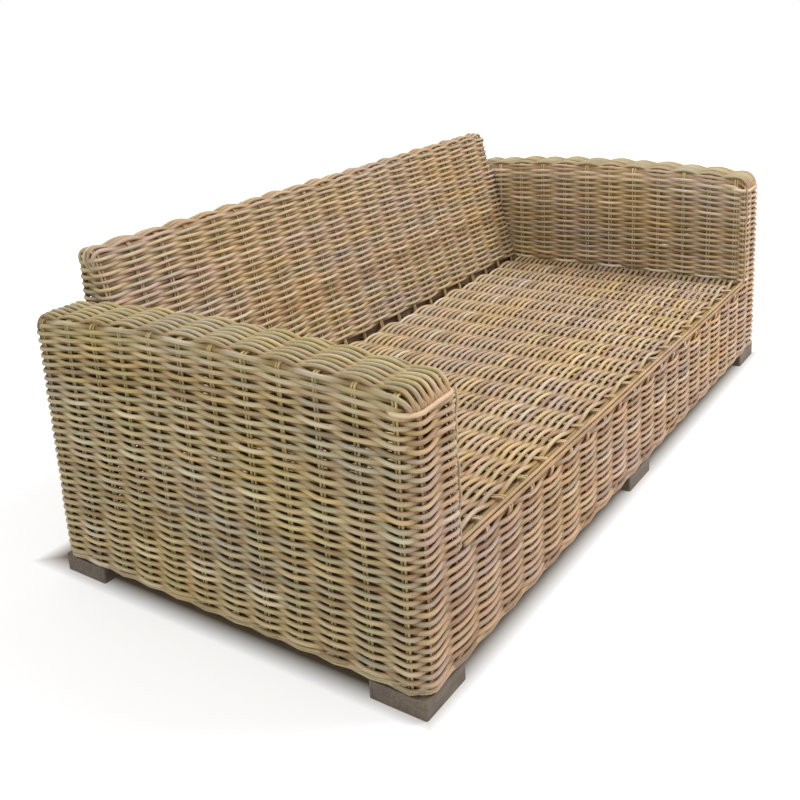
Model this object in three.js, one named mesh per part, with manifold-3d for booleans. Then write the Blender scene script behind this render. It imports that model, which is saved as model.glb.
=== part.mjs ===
// A woven rattan garden sofa without its cushions: two box arms, a seat deck, a raked back and six low feet.
// Millimetres. +X runs along the sofa to its right arm, +Y to its back, +Z up. The origin is the middle of
// the floor under it. Each woven skin is a panel on a timber frame; the frame carries all of them.
import * as THREE from "three";
import { mergeVertices } from "three/addons/utils/BufferGeometryUtils.js";
import Module from "manifold-3d";

// Driving dimensions of the whole sofa
const sofaLength = 2100;
const sofaDepth = 1020;
const backHeight = 752;
const armHeight = 632; // at the front and the back end of an arm
const armCrown = 24; // how far the middle of an arm rises over its ends
const armWidth = 150;
const seatHeight = 296;
const backDepthAtSeat = 188;
const backDepthAtTop = 70;

// The woven skins and the canes along their edges
const weaveThickness = 20; // a cane in front of the stakes, the stakes, and a cane behind them
const borderCane = 9;
const rimCane = 8.6;
const rimRadius = 11.5; // from the rounded front edge's centre to the middle of each rim cane
const rimCanes = 2;
const armCornerRadius = 44;
const armInnerCornerRadius = 6;
const armEndRadius = 12; // where the top strip turns down at the front and the back
const backTopRadius = 24;
const backEndRadius = 30;

// The weave's relief on the two broadest skins, the seat deck and the back's rear
const weaveRelief = 9; // from a cane that passes over the stakes down to one that passes under them
const deckStations = 20; // pairs of stakes, the outer ones at the arms
const deckRowPitch = 9.4;
const deckFirstRow = 16.3; // from the rim canes to the middle of the deck's first row
const rearStations = 20;
const rearStationInset = 15;
const skirtRows = 25;
const skirtRowPitch = 9;
const skirtFirstRow = 5.5; // from the border cane up to the middle of the first row
const upperRowPitch = 8.68;

// The timber frame under the skins
const railSize = 30;
const armRailHeight = 34;
const slatDepth = 28;
const bearerSpacing = 457;
const seatBearers = 3;

// The feet
const footHeight = 40;
const footLength = 140;
const footDepth = 130;
const footInset = 8;
const footEdgeRadius = 5;

// Clearance of curved or sloping faces that rest on each other, and the overrun of every cut
const fitGap = 0.3;
const overrun = 5;

// How finely the round stretches are stepped
const crownSteps = 16;
const cornerSteps = 6;
const caneSides = 16;

// Sizes that follow from those above
const halfLength = sofaLength / 2;
const halfDepth = sofaDepth / 2;
const armInnerFace = halfLength - armWidth;
const skirtBottom = footHeight + borderCane;
const outerFrameFace = halfLength - weaveThickness;
const innerFrameFace = armInnerFace + weaveThickness;
const frameDepth = halfDepth - weaveThickness;
const deckBottom = seatHeight - weaveThickness;
const seatRailBottom = deckBottom - railSize;
const baseRailTop = footHeight + railSize;
const backSkinTop = backHeight - weaveThickness;
const backRailBottom = backSkinTop - railSize;
const backInnerEnd = armInnerFace - weaveThickness;

// The back's front face leans from the seat up to the top
const backRake = (backDepthAtSeat - backDepthAtTop) / (backHeight - seatHeight);
const backFrontAt = (z) => halfDepth - backDepthAtSeat + (z - seatHeight) * backRake;
const backSkinDepth = weaveThickness * Math.hypot(1, backRake);
const backInsideAt = (z) => backFrontAt(z) + backSkinDepth + fitGap;

// The arm's top edge seen from the side: lowest at both ends, highest half way
const armTopAt = (y) => armHeight + armCrown * (1 - (y / halfDepth) ** 2);

// Colours and finishes
const finish = (color, roughness) => new THREE.MeshStandardMaterial({ color, roughness, metalness: 0 });
const weaveFinish = () => finish(0xa8956f, 0.75);
const deckFinish = () => finish(0xbfa274, 0.75);
const caneFinish = () => finish(0xb99b6c, 0.7);
const timberFinish = () => finish(0x8a6a4a, 0.8);
const footFinish = () => finish(0x7b6b5a, 0.7);

const sofa = new THREE.Group();

function place(name, geometry, material) {
  const mesh = new THREE.Mesh(geometry, material);
  mesh.name = name;
  sofa.add(mesh);
}

// Solids between two corners, and outlines pulled along one of the three axes
function block([x0, x1], [y0, y1], [z0, z1]) {
  const shape = new THREE.BoxGeometry(x1 - x0, y1 - y0, z1 - z0);
  return shape.translate((x0 + x1) / 2, (y0 + y1) / 2, (z0 + z1) / 2);
}

function pulled(outline, [from, to], across, up, along) {
  const shape = new THREE.Shape(outline.map(([u, v]) => new THREE.Vector2(u, v)));
  const solid = new THREE.ExtrudeGeometry(shape, { depth: to - from, bevelEnabled: false });
  solid.translate(0, 0, from);
  return solid.applyMatrix4(new THREE.Matrix4().makeBasis(across, up, along));
}

const axisX = new THREE.Vector3(1, 0, 0);
const axisY = new THREE.Vector3(0, 1, 0);
const axisZ = new THREE.Vector3(0, 0, 1);
const pulledAlongX = (yzOutline, span) => pulled(yzOutline, span, axisY, axisZ, axisX);
const pulledAlongY = (zxOutline, span) => pulled(zxOutline, span, axisZ, axisX, axisY);
const pulledAlongZ = (xyOutline, span) => pulled(xyOutline, span, axisX, axisY, axisZ);

// Points of a round corner, turning from one angle to another about a centre
function roundCorner([u, v], radius, fromAngle, toAngle) {
  const points = [];
  for (let i = 0; i <= cornerSteps; i += 1) {
    const angle = fromAngle + ((toAngle - fromAngle) * i) / cornerSteps;
    points.push([u + radius * Math.cos(angle), v + radius * Math.sin(angle)]);
  }
  return points;
}

// A round straight cane along X
function caneAlongX(diameter, [x0, x1], y, z) {
  const cane = new THREE.CylinderGeometry(diameter / 2, diameter / 2, x1 - x0, caneSides);
  return cane.rotateZ(-Math.PI / 2).translate((x0 + x1) / 2, y, z);
}

// A solid from the places of its corners, three numbers each, and the corners of its triangles
function facedSolid(places, faces) {
  const solid = new THREE.BufferGeometry();
  solid.setAttribute("position", new THREE.BufferAttribute(new Float32Array(places), 3));
  solid.setIndex(faces);
  solid.computeVertexNormals();
  return solid;
}

// A round cane that lies level and bends. Each stop on its middle line has a place and the angle of the
// direction that faces out of the bend
function bentCane(diameter, stops, z) {
  const places = [];
  const faces = [];
  for (const { x, y, outward } of stops) {
    for (let i = 0; i < caneSides; i += 1) {
      const turn = (2 * Math.PI * i) / caneSides;
      const reach = (diameter / 2) * Math.cos(turn);
      const height = z + (diameter / 2) * Math.sin(turn);
      places.push(x + reach * Math.cos(outward), y + reach * Math.sin(outward), height);
    }
  }
  for (let first = 0; first < (stops.length - 1) * caneSides; first += caneSides) {
    for (let i = 0; i < caneSides; i += 1) {
      const [a, b] = [first + i, first + ((i + 1) % caneSides)];
      faces.push(a, a + caneSides, b, b, a + caneSides, b + caneSides);
    }
  }
  const last = (stops.length - 1) * caneSides;
  for (let i = 1; i < caneSides - 1; i += 1) faces.push(0, i, i + 1, last, last + i + 1, last + i);
  return facedSolid(places, faces);
}

// The numbered places along a line that together pass both ends of a span
function numbered(placeAt, [from, to]) {
  const places = [];
  let number = 0;
  while (placeAt(number) > from - overrun) number -= 1;
  for (; places.length === 0 || places.at(-1).at < to + overrun; number += 1) {
    places.push({ number, at: placeAt(number) });
  }
  return places;
}

// A woven panel in low relief, with its stations along X, its rows along Y and its face up. The face stands
// out where a row of canes passes over a station of stakes and dips where it passes under. Each cell folds
// inwards between its two low corners. staysOut names places that don't dip. The back is flat.
function wovenSlab(stations, rows, [back, face], staysOut = () => false) {
  const standsOut = (i, j) => {
    const [station, row] = [stations[i].number, rows[j].number];
    return (station + row) % 2 === 0 || staysOut(station, row);
  };
  const places = [];
  for (let j = 0; j < rows.length; j += 1) {
    for (let i = 0; i < stations.length; i += 1) {
      const [x, y] = [stations[i].at, rows[j].at];
      places.push(x, y, back, x, y, standsOut(i, j) ? face : face - weaveRelief);
    }
  }
  const under = ([i, j]) => 2 * (j * stations.length + i);
  const above = ([i, j]) => under([i, j]) + 1;
  const faces = [];
  const addQuad = (a, b, c, d) => faces.push(a, b, c, a, c, d);
  const addWall = (from, to) => addQuad(under(from), under(to), above(to), above(from));
  const [lastX, lastY] = [stations.length - 1, rows.length - 1];
  for (let j = 0; j < lastY; j += 1) {
    for (let i = 0; i < lastX; i += 1) {
      const cell = [[i, j], [i + 1, j], [i + 1, j + 1], [i, j + 1]];
      if (standsOut(i, j)) cell.push(cell.shift());
      addQuad(...cell.map(above));
      addQuad(...cell.map(under).reverse());
    }
    addWall([lastX, j], [lastX, j + 1]);
    addWall([0, j + 1], [0, j]);
  }
  for (let i = 0; i < lastX; i += 1) {
    addWall([i, 0], [i + 1, 0]);
    addWall([i + 1, lastY], [i, lastY]);
  }
  return facedSolid(places, faces);
}

// Cutting one solid by another
const wasm = await Module();
wasm.setup();

function toSolid(geometry) {
  const bare = geometry.clone();
  bare.deleteAttribute("normal");
  bare.deleteAttribute("uv");
  const merged = mergeVertices(bare);
  return new wasm.Manifold(
    new wasm.Mesh({
      numProp: 3,
      vertProperties: new Float32Array(merged.attributes.position.array),
      triVerts: new Uint32Array(merged.index.array),
    }),
  );
}

function common(first, ...others) {
  let solid = toSolid(first);
  for (const other of others) solid = solid.intersect(toSolid(other));
  const mesh = solid.getMesh();
  return facedSolid(mesh.vertProperties, Array.from(mesh.triVerts));
}

// A span on the left arm is the mirror of the same span on the right arm
const sides = [
  { side: "left", spanX: ([x0, x1]) => [-x1, -x0], sign: -1 },
  { side: "right", spanX: (span) => span, sign: 1 },
];
const ends = [
  { end: "front", spanY: ([y0, y1]) => [-y1, -y0], sign: -1 },
  { end: "rear", spanY: (span) => span, sign: 1 },
];

// Six low wooden blocks: one under each corner and one half way along the front and the back
function foot(name, [x0, x1], [y0, y1]) {
  const r = footEdgeRadius;
  const outline = [
    ...roundCorner([x1 - r, y1 - r], r, 0, Math.PI / 2),
    ...roundCorner([x0 + r, y1 - r], r, Math.PI / 2, Math.PI),
    ...roundCorner([x0 + r, y0 + r], r, Math.PI, Math.PI * 1.5),
    ...roundCorner([x1 - r, y0 + r], r, Math.PI * 1.5, Math.PI * 2),
  ];
  place(name, pulledAlongZ(outline, [0, footHeight]), footFinish());
}

function feet() {
  const outer = halfLength - footInset;
  const cornerSpan = [outer - footLength, outer];
  const depthSpan = [halfDepth - footInset - footDepth, halfDepth - footInset];
  for (const { end, spanY } of ends) {
    for (const { side, spanX } of sides) foot(`foot_${end}_${side}`, spanX(cornerSpan), spanY(depthSpan));
    foot(`foot_${end}_middle`, [-footLength / 2, footLength / 2], spanY(depthSpan));
  }
}

// Timber rails on the feet: two under each arm, one along the front and the back, and one across the middle
const outerPostSpan = [outerFrameFace - railSize, outerFrameFace];
const innerPostSpan = [innerFrameFace, innerFrameFace + railSize];
const endRailSpan = [frameDepth - railSize, frameDepth];
const betweenArms = [-innerFrameFace, innerFrameFace];
const betweenEndRails = [-endRailSpan[0], endRailSpan[0]];

function baseFrame() {
  const height = [footHeight, baseRailTop];
  for (const { side, spanX } of sides) {
    const along = [-frameDepth, frameDepth];
    place(`base_rail_${side}_outer`, block(spanX(outerPostSpan), along, height), timberFinish());
    place(`base_rail_${side}_inner`, block(spanX(innerPostSpan), along, height), timberFinish());
  }
  for (const { end, spanY } of ends) {
    place(`base_rail_${end}`, block(betweenArms, spanY(endRailSpan), height), timberFinish());
  }
  const middle = [-railSize / 2, railSize / 2];
  place("base_bearer_middle", block(middle, betweenEndRails, height), timberFinish());
}

// Rails under the seat deck, and the ledger that the back's slats stand on
function seatFrame() {
  const height = [seatRailBottom, deckBottom];
  for (const { end, spanY } of ends) {
    place(`seat_rail_${end}`, block(betweenArms, spanY(endRailSpan), height), timberFinish());
  }
  for (let i = 0; i < seatBearers; i += 1) {
    const x = (i - (seatBearers - 1) / 2) * bearerSpacing;
    const span = [x - railSize / 2, x + railSize / 2];
    place(`seat_bearer_${i + 1}`, block(span, betweenEndRails, height), timberFinish());
  }
}

// The outer line of an arm's top, round where it turns down at both ends
function armTopLine() {
  const r = armEndRadius;
  const reach = halfDepth - r;
  const points = roundCorner([reach, armHeight - r], r, 0, Math.PI / 2);
  for (let i = 1; i < crownSteps; i += 1) {
    const y = reach - (2 * reach * i) / crownSteps;
    points.push([y, armTopAt(y)]);
  }
  points.push(...roundCorner([-reach, armHeight - r], r, Math.PI / 2, Math.PI));
  return points;
}

// A line that follows the crown at a depth under it, from the rear end of a rail or a panel to its front end
function crownLine(reach, under) {
  const points = [];
  for (let i = 0; i <= crownSteps; i += 1) {
    const y = reach - (2 * reach * i) / crownSteps;
    points.push([y, armTopAt(y) - under]);
  }
  return points;
}

// One arm's posts and its two top rails, which follow the crown
function armFrame({ side, spanX }) {
  const railBottom = armHeight - weaveThickness - armRailHeight;
  const railTop = crownLine(frameDepth, weaveThickness + fitGap);
  const outline = [[-frameDepth, railBottom], [frameDepth, railBottom], ...railTop];
  for (const [row, span] of [["outer", outerPostSpan], ["inner", innerPostSpan]]) {
    for (const { end, spanY } of ends) {
      const post = block(spanX(span), spanY(endRailSpan), [baseRailTop, railBottom]);
      place(`arm_post_${side}_${end}_${row}`, post, timberFinish());
    }
    place(`arm_rail_${side}_${row}`, pulledAlongX(outline, spanX(span)), timberFinish());
  }
}

// An arm's plan, round at its two outer corners and nearly sharp at the inner ones, for the right arm
function armPlan() {
  const [r, s] = [armCornerRadius, armInnerCornerRadius];
  return [
    ...roundCorner([halfLength - r, halfDepth - r], r, 0, Math.PI / 2),
    ...roundCorner([armInnerFace + s, halfDepth - s], s, Math.PI / 2, Math.PI),
    ...roundCorner([armInnerFace + s, s - halfDepth], s, Math.PI, Math.PI * 1.5),
    ...roundCorner([halfLength - r, r - halfDepth], r, Math.PI * 1.5, Math.PI * 2),
  ];
}

// One arm's five woven skins: outer, inner, front and rear, and the top strip over them
function armSkins({ side, spanX, sign }) {
  const plan = armPlan().map(([x, y]) => [sign * x, y]);
  if (sign < 0) plan.reverse();
  const armSpan = spanX([armInnerFace, halfLength]);
  const anyHeight = [skirtBottom, armHeight + armCrown + overrun];
  const upright = pulledAlongZ(plan, anyHeight);
  const under = weaveThickness + fitGap;
  const below = [[-halfDepth, skirtBottom], [halfDepth, skirtBottom], ...crownLine(halfDepth, under)];
  const walls = pulledAlongX(below, armSpan);
  const endSpan = [frameDepth, halfDepth];

  const outerSlab = block(spanX([outerFrameFace, halfLength]), [-halfDepth, halfDepth], anyHeight);
  place(`weave_arm_${side}_outer`, common(walls, upright, outerSlab), weaveFinish());

  const innerHeight = [deckBottom, anyHeight[1]];
  const innerSlab = block(spanX([armInnerFace, innerFrameFace]), [-frameDepth, frameDepth], innerHeight);
  place(`weave_arm_${side}_inner`, common(walls, innerSlab), weaveFinish());

  for (const { end, spanY } of ends) {
    const slab = block(spanX([armInnerFace, outerFrameFace]), spanY(endSpan), anyHeight);
    place(`weave_arm_${side}_${end}`, common(walls, upright, slab), weaveFinish());
  }

  const underLine = crownLine(halfDepth, weaveThickness).reverse();
  const strip = pulledAlongX([...armTopLine(), ...underLine], armSpan);
  place(`weave_arm_${side}_top`, common(strip, upright), weaveFinish());
}

// The woven seat deck, the apron under its front edge and the round canes over that edge. The deck lies
// between the arms' inner skins and the back's front skin, which go down past its edges to its rails, and its
// front laps over the apron. One cell in its middle stays flat: it marks the plane that the cushions lie on.
function seatSkins() {
  const [arcY, arcZ] = [rimRadius + rimCane / 2 - halfDepth, seatHeight - rimRadius - rimCane / 2];
  const step = 2 * Math.asin((rimCane + fitGap) / (2 * rimRadius));
  const firstAngle = Math.PI / 4 - ((rimCanes - 1) * step) / 2;
  const lap = rimCane / 2 - rimRadius * Math.sin(firstAngle);
  const [deckFront, apronTop] = [arcY + lap, arcZ - lap];
  const deckRear = backFrontAt(deckBottom) - fitGap;
  const width = [-armInnerFace, armInnerFace];

  const firstRow = deckFront + deckFirstRow;
  const stationPitch = (2 * armInnerFace) / (deckStations - 1);
  const stations = numbered((number) => number * stationPitch - armInnerFace, width);
  const rows = numbered((number) => firstRow + number * deckRowPitch, [deckFront, deckRear]);
  const middleStation = Math.floor(deckStations / 2);
  const middleRow = Math.floor((deckRear - firstRow) / deckRowPitch / 2);
  const isMiddle = (station, row) =>
    [middleStation - 1, middleStation].includes(station) && [middleRow - 1, middleRow].includes(row);
  const weave = wovenSlab(stations, rows, [deckBottom - overrun, seatHeight], isMiddle);
  const section = [
    [-frameDepth, deckBottom], [deckRear, deckBottom], [deckRear, seatHeight + overrun],
    [deckFront, seatHeight + overrun], [deckFront, apronTop], [-frameDepth, apronTop],
  ];
  place("weave_seat_deck", common(weave, pulledAlongX(section, width)), deckFinish());
  const apron = block(width, [-halfDepth, -frameDepth], [skirtBottom, apronTop]);
  place("weave_apron_front", apron, weaveFinish());

  for (let i = 0; i < rimCanes; i += 1) {
    const angle = firstAngle + i * step;
    const y = arcY - rimRadius * Math.cos(angle);
    const z = arcZ + rimRadius * Math.sin(angle);
    place(`rim_cane_${i + 1}`, caneAlongX(rimCane, width, y, z), caneFinish());
  }
}

// The back's frame: uprights behind, raked slats in front beside them, a ledger below and a rail on top
function backFrame() {
  const ledgerTop = seatHeight + railSize / 2;
  const foot = backInsideAt(seatHeight);
  const ledger = [
    [foot, deckBottom], [foot + railSize, deckBottom], [foot + railSize, ledgerTop],
    [backInsideAt(ledgerTop), ledgerTop], [foot, seatHeight],
  ];
  place("back_ledger", pulledAlongX(ledger, [-backInnerEnd, backInnerEnd]), timberFinish());

  const slat = [
    [backInsideAt(ledgerTop), ledgerTop], [backInsideAt(ledgerTop) + slatDepth, ledgerTop],
    [backInsideAt(backRailBottom) + slatDepth, backRailBottom],
    [backInsideAt(backRailBottom), backRailBottom],
  ];
  const uprightSpan = [backInnerEnd - railSize, backInnerEnd];
  const slatSpan = [uprightSpan[0] - railSize, uprightSpan[0]];
  for (const { side, spanX } of sides) {
    const upright = block(spanX(uprightSpan), endRailSpan, [deckBottom, backRailBottom]);
    place(`back_upright_${side}`, upright, timberFinish());
    place(`back_slat_${side}`, pulledAlongX(slat, spanX(slatSpan)), timberFinish());
  }

  const rail = [
    [backInsideAt(backRailBottom), backRailBottom], [frameDepth, backRailBottom],
    [frameDepth, backSkinTop], [backInsideAt(backSkinTop), backSkinTop],
  ];
  place("back_rail_top", pulledAlongX(rail, [-backInnerEnd, backInnerEnd]), timberFinish());
}

// The back's outer shape: raked in front, upright behind down to the skirt, round along its top and its ends
function backShape() {
  const r = backTopRadius;
  const lean = Math.atan(backRake);
  const centreZ = backHeight - r;
  const frontCentreY = backFrontAt(centreZ) + r * Math.hypot(1, backRake);
  const side = [
    [frameDepth, skirtBottom], [halfDepth, skirtBottom],
    ...roundCorner([halfDepth - r, centreZ], r, 0, Math.PI / 2),
    ...roundCorner([frontCentreY, centreZ], r, Math.PI / 2, Math.PI - lean),
    [backFrontAt(deckBottom), deckBottom], [frameDepth, deckBottom],
  ];
  const [e, endZ] = [backEndRadius, backHeight - backEndRadius];
  const face = [
    [skirtBottom, -armInnerFace],
    ...roundCorner([endZ, e - armInnerFace], e, -Math.PI / 2, 0),
    ...roundCorner([endZ, armInnerFace - e], e, 0, Math.PI / 2),
    [skirtBottom, armInnerFace],
  ];
  return [pulledAlongX(side, [-armInnerFace, armInnerFace]), pulledAlongY(face, [0, halfDepth])];
}

function backSkins() {
  const shape = backShape();
  const width = [-armInnerFace, armInnerFace];
  const inside = [-backInnerEnd, backInnerEnd];
  const endHeight = [deckBottom, backSkinTop];

  const rearHeight = [skirtBottom, backSkinTop];
  const stationPitch = (2 * (armInnerFace - rearStationInset)) / (rearStations - 1);
  const stations = numbered((number) => number * stationPitch - armInnerFace + rearStationInset, width);
  const rowAt = (number) =>
    skirtBottom + skirtFirstRow + Math.min(number, skirtRows) * skirtRowPitch
    + Math.max(number - skirtRows, 0) * upperRowPitch;
  const weave = wovenSlab(stations, numbered(rowAt, rearHeight), [frameDepth - overrun, halfDepth]);
  weave.applyMatrix4(new THREE.Matrix4().makeBasis(axisX.clone().negate(), axisZ, axisY));
  const rearSlab = block(width, [frameDepth, halfDepth + overrun], rearHeight);
  place("weave_back_rear", common(weave, ...shape, rearSlab), weaveFinish());

  const topSlab = block(width, [0, halfDepth], [backSkinTop, backHeight + overrun]);
  place("weave_back_top", common(...shape, topSlab), weaveFinish());

  const slabOutline = [
    [backFrontAt(deckBottom), deckBottom], [backFrontAt(deckBottom) + backSkinDepth, deckBottom],
    [backFrontAt(backSkinTop) + backSkinDepth, backSkinTop], [backFrontAt(backSkinTop), backSkinTop],
  ];
  place("weave_back_front", common(...shape, pulledAlongX(slabOutline, inside)), weaveFinish());

  for (const { side, spanX } of sides) {
    const slab = block(spanX([backInnerEnd, armInnerFace]), [0, frameDepth], endHeight);
    place(`weave_back_end_${side}`, common(...shape, slab), weaveFinish());
  }
}

// A border cane under the lower edge of each of the four sides. It follows the skins' round corners and meets
// the next one half way round
function borderCanes() {
  const z = footHeight + borderCane / 2;
  const r = armCornerRadius - borderCane / 2;
  const [cornerX, cornerY] = [halfLength - armCornerRadius, halfDepth - armCornerRadius];
  const reach = Math.PI / 4 - fitGap / (2 * r);
  const steps = cornerSteps / 2;
  ["right", "rear", "left", "front"].forEach((name, quarter) => {
    const facing = (quarter * Math.PI) / 2;
    const stops = [];
    for (let i = -steps; i <= steps; i += 1) {
      for (const half of i === 0 ? [-1, 1] : [Math.sign(i)]) {
        const corner = facing + (half * Math.PI) / 4;
        const outward = facing + (reach * i) / steps;
        const x = Math.sign(Math.cos(corner)) * cornerX + r * Math.cos(outward);
        const y = Math.sign(Math.sin(corner)) * cornerY + r * Math.sin(outward);
        stops.push({ x, y, outward });
      }
    }
    place(`border_cane_${name}`, bentCane(borderCane, stops, z), caneFinish());
  });
}

feet();
baseFrame();
seatFrame();
for (const side of sides) {
  armFrame(side);
  armSkins(side);
}
seatSkins();
backFrame();
backSkins();
borderCanes();

export default sofa;
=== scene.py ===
# %% [markdown]
# # A woven rattan garden sofa
# The real sofa is a timber frame under a skin of round canes. Pairs of thin stakes stand on the frame, and
# long canes, the weavers, pass in front of one pair and behind the next, row above row. A picture of a weave
# on flat panels would look right only from far away, so here every cane is a real tube, laid along its own
# way. The frame and the feet are the fixed model's own solids, and only get their finish here.

# %% Load the fixed model
import math
from collections import defaultdict

import bpy
import numpy as np
from mathutils import Matrix, Vector


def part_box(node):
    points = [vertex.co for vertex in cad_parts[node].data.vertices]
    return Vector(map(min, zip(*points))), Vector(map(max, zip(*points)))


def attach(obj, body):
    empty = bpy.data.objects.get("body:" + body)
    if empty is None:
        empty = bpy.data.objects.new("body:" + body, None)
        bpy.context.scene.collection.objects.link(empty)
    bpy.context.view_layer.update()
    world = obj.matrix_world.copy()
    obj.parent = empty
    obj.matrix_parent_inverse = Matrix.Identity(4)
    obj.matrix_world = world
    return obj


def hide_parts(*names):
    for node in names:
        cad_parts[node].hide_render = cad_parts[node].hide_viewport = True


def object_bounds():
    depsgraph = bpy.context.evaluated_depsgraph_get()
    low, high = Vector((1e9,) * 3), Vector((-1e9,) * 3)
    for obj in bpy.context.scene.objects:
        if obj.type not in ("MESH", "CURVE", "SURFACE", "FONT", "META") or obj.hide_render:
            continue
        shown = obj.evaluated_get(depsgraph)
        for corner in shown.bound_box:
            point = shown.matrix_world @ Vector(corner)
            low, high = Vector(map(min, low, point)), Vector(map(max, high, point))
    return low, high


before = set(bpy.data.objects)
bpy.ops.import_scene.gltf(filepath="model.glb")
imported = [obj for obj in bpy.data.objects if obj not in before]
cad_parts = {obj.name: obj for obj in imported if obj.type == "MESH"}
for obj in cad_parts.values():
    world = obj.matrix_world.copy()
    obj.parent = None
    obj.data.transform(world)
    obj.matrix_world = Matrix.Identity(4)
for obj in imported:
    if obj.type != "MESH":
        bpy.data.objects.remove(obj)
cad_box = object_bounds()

print("solids in the frame:", len(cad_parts))

# %% [markdown]
# ## Sizes that the canes follow
# The canes have to lie where the fixed model's panels are, so the sizes come from the boxes of those panels.
# Only what a box can't tell is written here: the rise of the arms, and where and how far the back leans.

# %% Sizes of the sofa, in metres
half_length = cad_box[1].x
half_depth = cad_box[1].y
back_top = cad_box[1].z
skirt_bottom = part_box("weave_apron_front")[0].z
arm_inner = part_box("weave_apron_front")[1].x
seat_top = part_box("weave_seat_deck")[1].z
deck_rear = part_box("weave_seat_deck")[1].y

ARM_CROWN = 0.024
BACK_LEAN = 0.118 / 0.456
BACK_FOOT = 0.322
arm_end_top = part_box("weave_arm_left_top")[1].z - ARM_CROWN


def arm_top(y):
    """Height of an arm's top, which rises from both ends to its middle."""
    return arm_end_top + ARM_CROWN * (1 - (y / half_depth) ** 2)


def back_front(z):
    """How far back the leaning front of the backrest is at a height."""
    return BACK_FOOT + (z - seat_top) * BACK_LEAN


print("arm top at its ends and its middle:", round(arm_top(half_depth), 3), round(arm_top(0), 3))

# %% [markdown]
# ## The canes' own sizes
# A weaver is about 9 mm thick and a stake 5 mm. Where a weaver passes a pair of stakes it stands off their
# middle by half of both, and that is the swing of its wave. Inside it is pressed flatter, against the frame.
# The middle of the stakes lies under the panel's face, so that the humps of the weave just reach the outline
# of the fixed model.

# %% Cane sizes
WEAVER_RADIUS = 0.0047
STAKE_RADIUS = 0.0026
SWING = WEAVER_RADIUS + STAKE_RADIUS + 0.0003
INSIDE_SHARE = 0.76
UNDER_FACE = 0.0118
TUBE_SIDES = 8
RING_STEP = 0.0125
random = np.random.default_rng(11)

middle_x = half_length - UNDER_FACE
middle_y = half_depth - UNDER_FACE
inner_x = arm_inner + UNDER_FACE
deck_z = seat_top - UNDER_FACE
print("swing of the weave, mm:", round(SWING * 1000, 2))

# %% [markdown]
# ## What colours a cane has
# Unbleached cane is a mix: most strands are a greyish straw, some are olive, some pink-brown, a few are
# honey yellow or dark. Each strand gets one of these tones, and drifts a little lighter and darker along
# its length. Each face also gets a painted light tint, for the coloured light that falls on it: the arms'
# sides greener and the seat yellower.

# %% Tones of the canes, as they look on a screen
TONES = {
    "straw": (216, 198, 165),
    "grey": (206, 194, 172),
    "olive": (208, 194, 158),
    "tan": (210, 188, 159),
    "rose": (210, 189, 168),
    "honey": (220, 198, 154),
    "bark": (184, 162, 133),
    "pale": (234, 221, 196),
}
MIXES = {
    "side": dict(straw=26, grey=22, olive=16, tan=12, rose=4, honey=5, bark=8, pale=7),
    "back": dict(straw=24, grey=16, olive=2, tan=32, rose=16, honey=2, bark=5, pale=3),
    "deck": dict(straw=36, grey=10, olive=2, tan=24, rose=9, honey=8, bark=6, pale=5),
    "edge": dict(tan=60, straw=22, honey=18),
    "stake": dict(straw=36, tan=14, honey=26, pale=24),
}


def linear(colour):
    """A colour as it looks, 0 to 255, as the light that Blender works with."""
    share = np.asarray(colour, float) / 255
    return np.where(share <= 0.04045, share / 12.92, ((share + 0.055) / 1.055) ** 2.4)


LIGHTER, WARMER = 5, 1.5
DRIFTS = ((0.9, 0.06), (0.37, 0.05), (0.13, 0.04))


def strand_colour(mix, length):
    """One tone for a strand, and its drift at each ring. A drift has a length in metres and a strength."""
    chances = np.array(list(MIXES[mix].values()), float)
    tone = TONES[str(random.choice(list(MIXES[mix]), p=chances / chances.sum()))]
    base = linear(np.array(tone) + random.normal(0, LIGHTER) + random.normal(0, WARMER, 3))
    drift = np.zeros(len(length))
    for wave, strength in DRIFTS:
        turns = length / (wave * random.uniform(0.8, 1.25)) + random.uniform(0, 1)
        drift += strength * np.sin(2 * np.pi * turns)
    return base[None, :] * (1 + drift[:, None])


# Painted light: tints that stand for the coloured light falling on each face, by the way the face looks.
OUTSIDE_LIGHT_TINT = np.array([0.98, 0.97, 0.82])
FRONT_LIGHT_TINT = np.array([0.96, 0.80, 0.76])
INSIDE_LIGHT_TINT = np.array([1.01, 0.94, 0.88])
SHELTERED_LIGHT_TINT = np.array([1.10, 1.08, 1.08])
BUNDLE_TINT = np.array([0.02, 0.0, -0.12])


def face_tint(place, outward):
    """A painted light tint for the coloured light that falls on a face: the arms' outsides and tops greener,
    the front pinker, the arms' inner sides lighter and greyer, the rest between. Places a few hand's
    breadths apart differ a little too, as the canes come from different bundles."""
    away = outward[:, 0] * np.sign(place[:, 0])
    sideways = np.clip(away, 0, 1) ** 2
    sheltered = np.clip(-away, 0, 1)[:, None] ** 2
    on_arm = (np.abs(place[:, 0]) > arm_inner) * np.clip(outward[:, 2], 0, 1) ** 2
    outside = np.clip(sideways + on_arm, 0, 1)[:, None]
    front = (np.clip(-outward[:, 1], 0, 1) ** 2 * (place[:, 1] < -half_depth / 2))[:, None]
    tint = INSIDE_LIGHT_TINT + outside * (OUTSIDE_LIGHT_TINT - INSIDE_LIGHT_TINT) + front * (FRONT_LIGHT_TINT - INSIDE_LIGHT_TINT)
    tint = tint + sheltered * (SHELTERED_LIGHT_TINT - INSIDE_LIGHT_TINT)
    x, y, z = place.T
    bundle = np.sin(9.1 * x + 3.7 * y + 5.3 * z + 0.4) * np.sin(2.9 * x - 11.3 * y + 9.7 * z + 1.9)
    return tint * (1 + bundle[:, None] * BUNDLE_TINT)


print("tones:", len(TONES), "mixes:", len(MIXES))

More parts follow.
